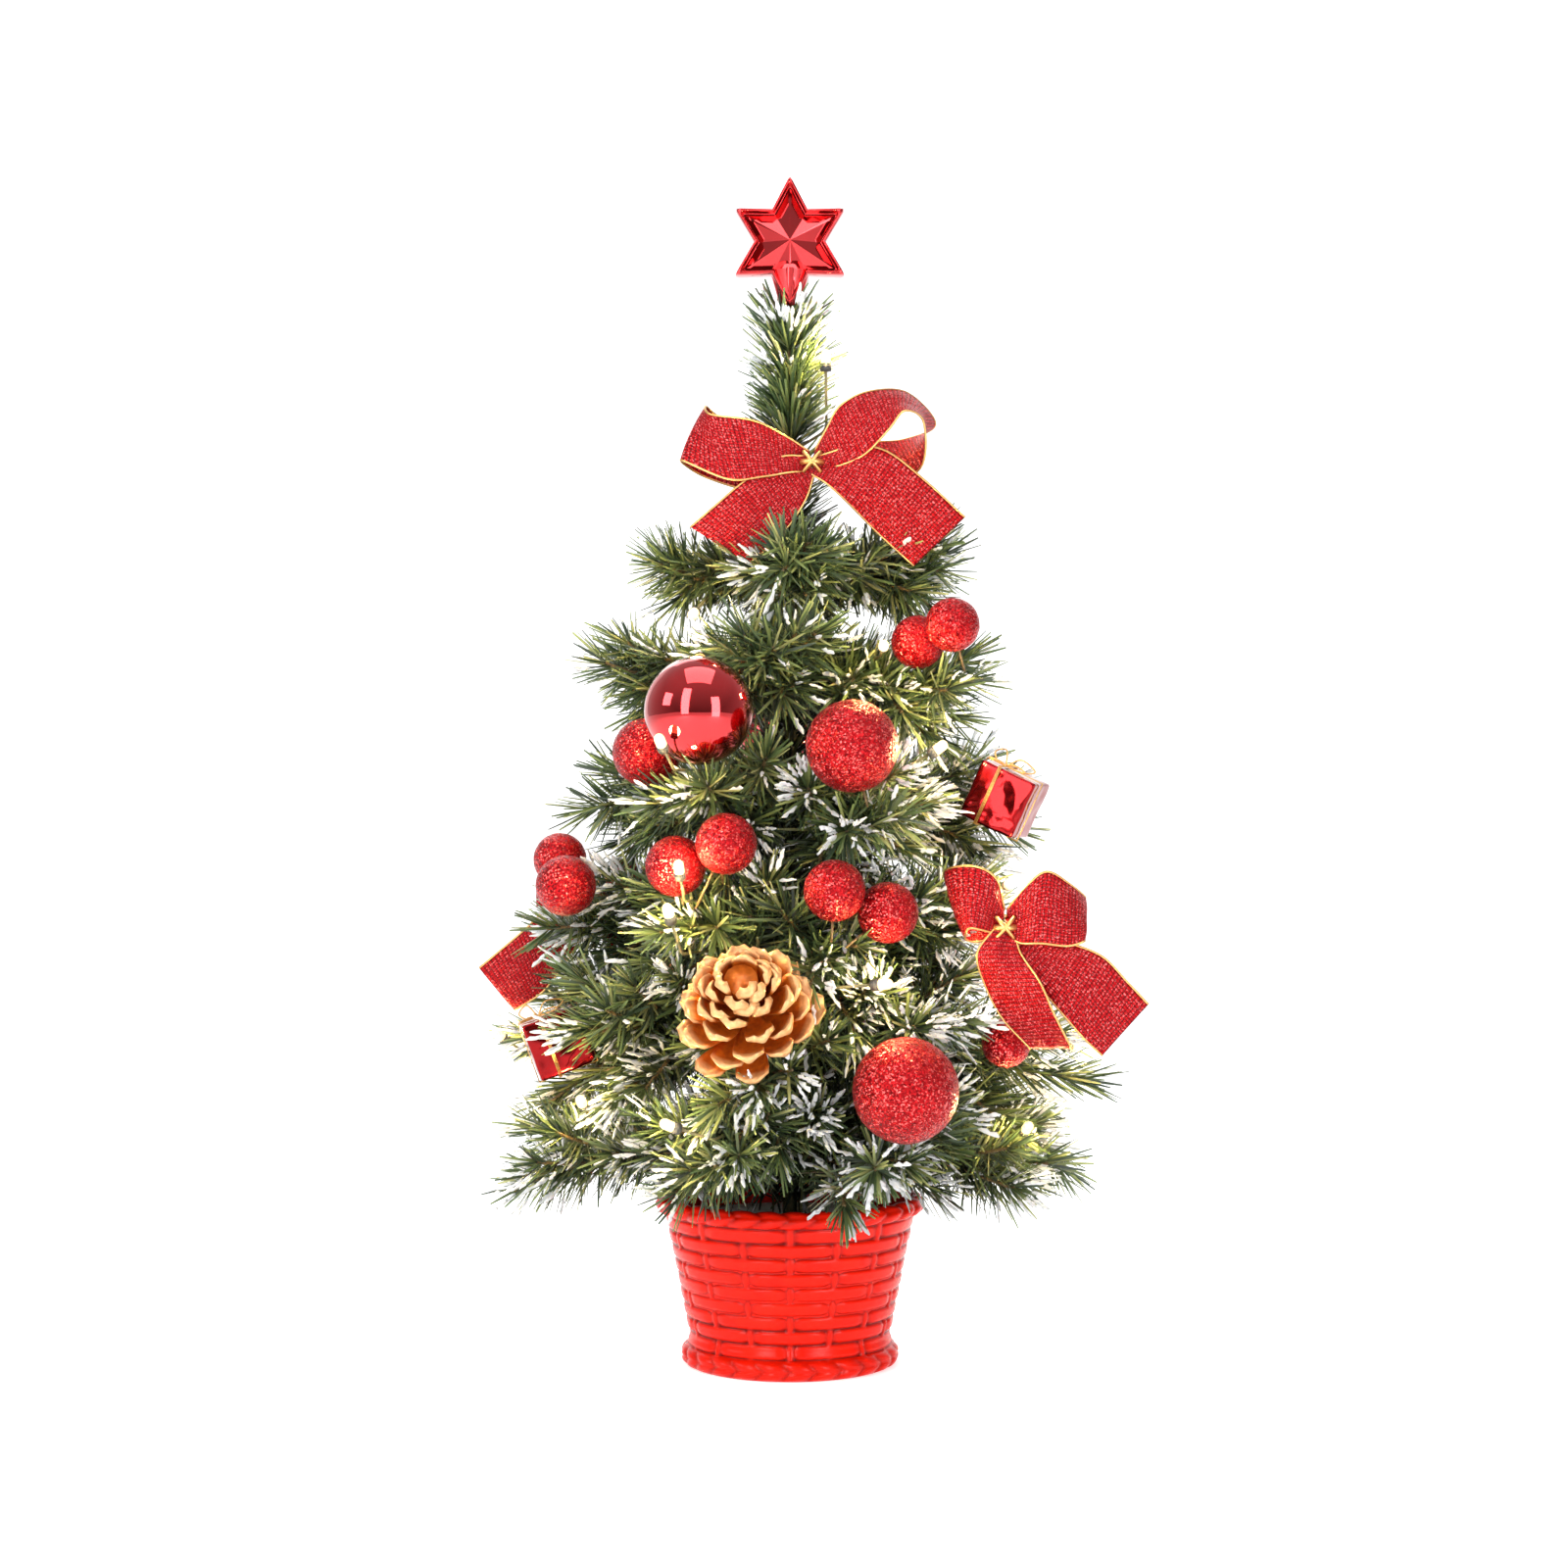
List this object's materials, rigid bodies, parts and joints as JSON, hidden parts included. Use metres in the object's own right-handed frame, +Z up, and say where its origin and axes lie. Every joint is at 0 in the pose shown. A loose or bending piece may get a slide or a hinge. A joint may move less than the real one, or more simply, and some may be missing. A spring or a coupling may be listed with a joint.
{
  "type": "artificial tabletop tree",
  "caption": "Small artificial Christmas tree with frosted needle branches in a woven-look red pot, dressed with a star, bows, balls, berries, cones, gift boxes and warm lights.",
  "frame": {"origin": "centre of the pot's foot, on the surface that it stands on", "axes": "+Z up along the trunk; -Y is the decorated front; +X is the viewer's right"},
  "size_m": [0.271, 0.2819, 0.5],
  "materials": {
    "woven_plastic": "glossy moulded plastic with a woven relief",
    "cast_filler": "rough cast",
    "bound_wire": "wrapped wire",
    "binding_tape": "wound paper-backed tape",
    "needles": "cut needles with flocked tips",
    "light_lead": "thin lacquered wire",
    "red_mirror": "metallised, mirror-like",
    "case_plastic": "fine moulded texture",
    "cell_can": "plain sleeve",
    "contact_steel": "bright",
    "red_ribbon": "glittered open weave with gold edges",
    "red_glitter": "coarse glitter coat on a light foam core",
    "cone_scales": "dry scales with pale gold tips",
    "red_foil": "wrapped in metallic foil"
  },
  "bodies": {
    "base": {"battery_cells": "cell_can", "battery_contacts": "contact_steel", "battery_housing": "case_plastic", "light_wire": "light_lead", "pot": "woven_plastic", "pot_filler": "cast_filler", "top_bow": "red_ribbon", "top_sprig": "needles", "trunk": "bound_wire", "trunk_bindings": "binding_tape"},
    "branch_c_back": {"back_ball": "red_mirror", "branch_c_back": "needles"},
    "branch_e_back": {"back_pine_cone": "cone_scales", "branch_e_back": "needles"},
    "battery_door": {"battery_door": "case_plastic"},
    "branch_a_back": {"branch_a_back": "needles"},
    "branch_a_front": {"branch_a_front": "needles"},
    "branch_a_left": {"branch_a_left": "needles"},
    "branch_a_right": {"branch_a_right": "needles"},
    "branch_b_back": {"branch_b_back": "needles"},
    "branch_b_front": {"branch_b_front": "needles"},
    "branch_b_left": {"branch_b_left": "needles"},
    "branch_b_right": {"branch_b_right": "needles", "top_right_berries": "red_glitter"},
    "branch_c_front_left": {"branch_c_front_left": "needles", "shiny_ball": "red_mirror", "small_ball_left": "red_glitter"},
    "branch_c_front_right": {"branch_c_front_right": "needles", "upper_glitter_ball": "red_glitter"},
    "branch_c_left": {"branch_c_left": "needles"},
    "branch_c_right": {"branch_c_right": "needles", "right_gift_box": "red_foil"},
    "branch_d_back": {"branch_d_back": "needles"},
    "branch_d_front": {"branch_d_front": "needles", "centre_berries": "red_glitter"},
    "branch_d_front_left": {"branch_d_front_left": "needles", "mid_left_berries": "red_glitter"},
    "branch_d_left": {"branch_d_left": "needles", "left_berries": "red_glitter", "left_bow": "red_ribbon"},
    "branch_d_right": {"branch_d_right": "needles", "right_bow": "red_ribbon"},
    "branch_e_far_left": {"branch_e_far_left": "needles", "left_gift_box": "red_foil"},
    "branch_e_front": {"branch_e_front": "needles", "pine_cone": "cone_scales"},
    "branch_e_front_right": {"branch_e_front_right": "needles", "small_ball_right": "red_glitter"},
    "branch_e_left": {"branch_e_left": "needles"},
    "branch_e_right": {"branch_e_right": "needles"},
    "branch_f_back": {"branch_f_back": "needles"},
    "branch_f_front_left": {"branch_f_front_left": "needles"},
    "branch_f_front_right": {"branch_f_front_right": "needles", "lower_glitter_ball": "red_glitter"},
    "branch_f_left": {"branch_f_left": "needles"},
    "branch_f_right": {"branch_f_right": "needles"},
    "star": {"star_back_shell": "red_mirror", "star_front_shell": "red_mirror", "star_socket": "red_mirror"},
    "light_switch": {"switch_slider": "case_plastic"}
  },
  "joints": [
    {"name": "star_lift", "type": "slide", "parent": "base", "child": "star", "axis": [0, 0, 1], "range_m": [0, 0.03]},
    {"name": "battery_door_slide", "type": "slide", "parent": "base", "child": "battery_door", "axis": [0, -1, 0], "range_m": [0, 0.006]},
    {"name": "light_switch_slide", "type": "slide", "parent": "base", "child": "light_switch", "axis": [0, 1, 0], "range_m": [0, 0.004]},
    {"name": "a_front_bend", "type": "hinge", "parent": "base", "child": "branch_a_front", "pos_m": [0.00026, -0.00749, 0.332], "axis": [-0.9994, -0.0349, 0], "range_deg": [-10, 18]},
    {"name": "a_left_bend", "type": "hinge", "parent": "base", "child": "branch_a_left", "pos_m": [-0.00739, -0.0013, 0.332], "axis": [-0.1736, 0.9848, 0], "range_deg": [-10, 18]},
    {"name": "a_right_bend", "type": "hinge", "parent": "base", "child": "branch_a_right", "pos_m": [0.00739, -0.0013, 0.332], "axis": [-0.1736, -0.9848, 0], "range_deg": [-10, 18]},
    {"name": "a_back_bend", "type": "hinge", "parent": "base", "child": "branch_a_back", "pos_m": [0.00026, 0.00749, 0.332], "axis": [0.9994, -0.0349, 0], "range_deg": [-10, 18]},
    {"name": "b_left_bend", "type": "hinge", "parent": "base", "child": "branch_b_left", "pos_m": [-0.00746, -0.00078, 0.29], "axis": [-0.1045, 0.9945, 0], "range_deg": [-10, 18]},
    {"name": "b_front_bend", "type": "hinge", "parent": "base", "child": "branch_b_front", "pos_m": [-0.0013, -0.00739, 0.29], "axis": [-0.9848, 0.1736, 0], "range_deg": [-10, 18]},
    {"name": "b_right_bend", "type": "hinge", "parent": "base", "child": "branch_b_right", "pos_m": [0.00636, -0.00397, 0.29], "axis": [-0.5299, -0.848, 0], "range_deg": [-10, 18]},
    {"name": "b_back_bend", "type": "hinge", "parent": "base", "child": "branch_b_back", "pos_m": [0.00194, 0.00724, 0.29], "axis": [0.9659, -0.2588, 0], "range_deg": [-10, 18]},
    {"name": "c_left_bend", "type": "hinge", "parent": "base", "child": "branch_c_left", "pos_m": [-0.00736, -0.00143, 0.24], "axis": [-0.1908, 0.9816, 0], "range_deg": [-6, 18]},
    {"name": "c_front_left_bend", "type": "hinge", "parent": "base", "child": "branch_c_front_left", "pos_m": [-0.00329, -0.00674, 0.239], "axis": [-0.8988, 0.4384, 0], "range_deg": [-4, 5]},
    {"name": "c_front_right_bend", "type": "hinge", "parent": "base", "child": "branch_c_front_right", "pos_m": [0.00257, -0.00705, 0.238], "axis": [-0.9397, -0.342, 0], "range_deg": [-8, 16]},
    {"name": "c_right_bend", "type": "hinge", "parent": "base", "child": "branch_c_right", "pos_m": [0.00748, 0.00052, 0.24], "axis": [0.0698, -0.9976, 0], "range_deg": [-10, 15]},
    {"name": "c_back_bend", "type": "hinge", "parent": "base", "child": "branch_c_back", "pos_m": [0, 0.0075, 0.24], "axis": [1, 0, 0], "range_deg": [-10, 8]},
    {"name": "d_left_bend", "type": "hinge", "parent": "base", "child": "branch_d_left", "pos_m": [-0.00739, -0.0013, 0.19], "axis": [-0.1736, 0.9848, 0], "range_deg": [-7, 4]},
    {"name": "d_front_left_bend", "type": "hinge", "parent": "base", "child": "branch_d_front_left", "pos_m": [-0.00305, -0.00685, 0.188], "axis": [-0.9135, 0.4067, 0], "range_deg": [-10, 3]},
    {"name": "d_front_bend", "type": "hinge", "parent": "base", "child": "branch_d_front", "pos_m": [0.00117, -0.00741, 0.186], "axis": [-0.9877, -0.1564, 0], "range_deg": [-10, 8]},
    {"name": "d_right_bend", "type": "hinge", "parent": "base", "child": "branch_d_right", "pos_m": [0.00539, -0.00521, 0.19], "axis": [-0.6947, -0.7193, 0], "range_deg": [-10, 18]},
    {"name": "d_back_bend", "type": "hinge", "parent": "base", "child": "branch_d_back", "pos_m": [0.00026, 0.00749, 0.19], "axis": [0.9994, -0.0349, 0], "range_deg": [-10, 18]},
    {"name": "e_left_bend", "type": "hinge", "parent": "base", "child": "branch_e_left", "pos_m": [-0.00622, -0.00419, 0.144], "axis": [-0.5592, 0.829, 0], "range_deg": [-10, 18]},
    {"name": "e_front_bend", "type": "hinge", "parent": "base", "child": "branch_e_front", "pos_m": [-0.00091, -0.00744, 0.138], "axis": [-0.9925, 0.1219, 0], "range_deg": [-10, 6]},
    {"name": "e_front_right_bend", "type": "hinge", "parent": "base", "child": "branch_e_front_right", "pos_m": [0.0043, -0.00614, 0.144], "axis": [-0.8192, -0.5736, 0], "range_deg": [-10, 18]},
    {"name": "e_right_bend", "type": "hinge", "parent": "base", "child": "branch_e_right", "pos_m": [0.00734, -0.00156, 0.14], "axis": [-0.2079, -0.9781, 0], "range_deg": [-10, 18]},
    {"name": "e_back_bend", "type": "hinge", "parent": "base", "child": "branch_e_back", "pos_m": [0.00104, 0.00743, 0.14], "axis": [0.9903, -0.1392, 0], "range_deg": [-10, 3]},
    {"name": "e_far_left_bend", "type": "hinge", "parent": "base", "child": "branch_e_far_left", "pos_m": [-0.00741, 0.00117, 0.14], "axis": [0.1564, 0.9877, 0], "range_deg": [-10, 7]},
    {"name": "f_left_bend", "type": "hinge", "parent": "base", "child": "branch_f_left", "pos_m": [-0.00721, -0.00207, 0.096], "axis": [-0.2756, 0.9613, 0], "range_deg": [-7, 12]},
    {"name": "f_front_left_bend", "type": "hinge", "parent": "base", "child": "branch_f_front_left", "pos_m": [-0.00207, -0.00721, 0.096], "axis": [-0.9613, 0.2756, 0], "range_deg": [-10, 13]},
    {"name": "f_front_right_bend", "type": "hinge", "parent": "base", "child": "branch_f_front_right", "pos_m": [0.00329, -0.00674, 0.096], "axis": [-0.8988, -0.4384, 0], "range_deg": [-10, 6]},
    {"name": "f_right_bend", "type": "hinge", "parent": "base", "child": "branch_f_right", "pos_m": [0.0069, -0.00293, 0.096], "axis": [-0.3907, -0.9205, 0], "range_deg": [-6, 11]},
    {"name": "f_back_bend", "type": "hinge", "parent": "base", "child": "branch_f_back", "pos_m": [0.00026, 0.00749, 0.096], "axis": [0.9994, -0.0349, 0], "range_deg": [-8, 13]}
  ]
}
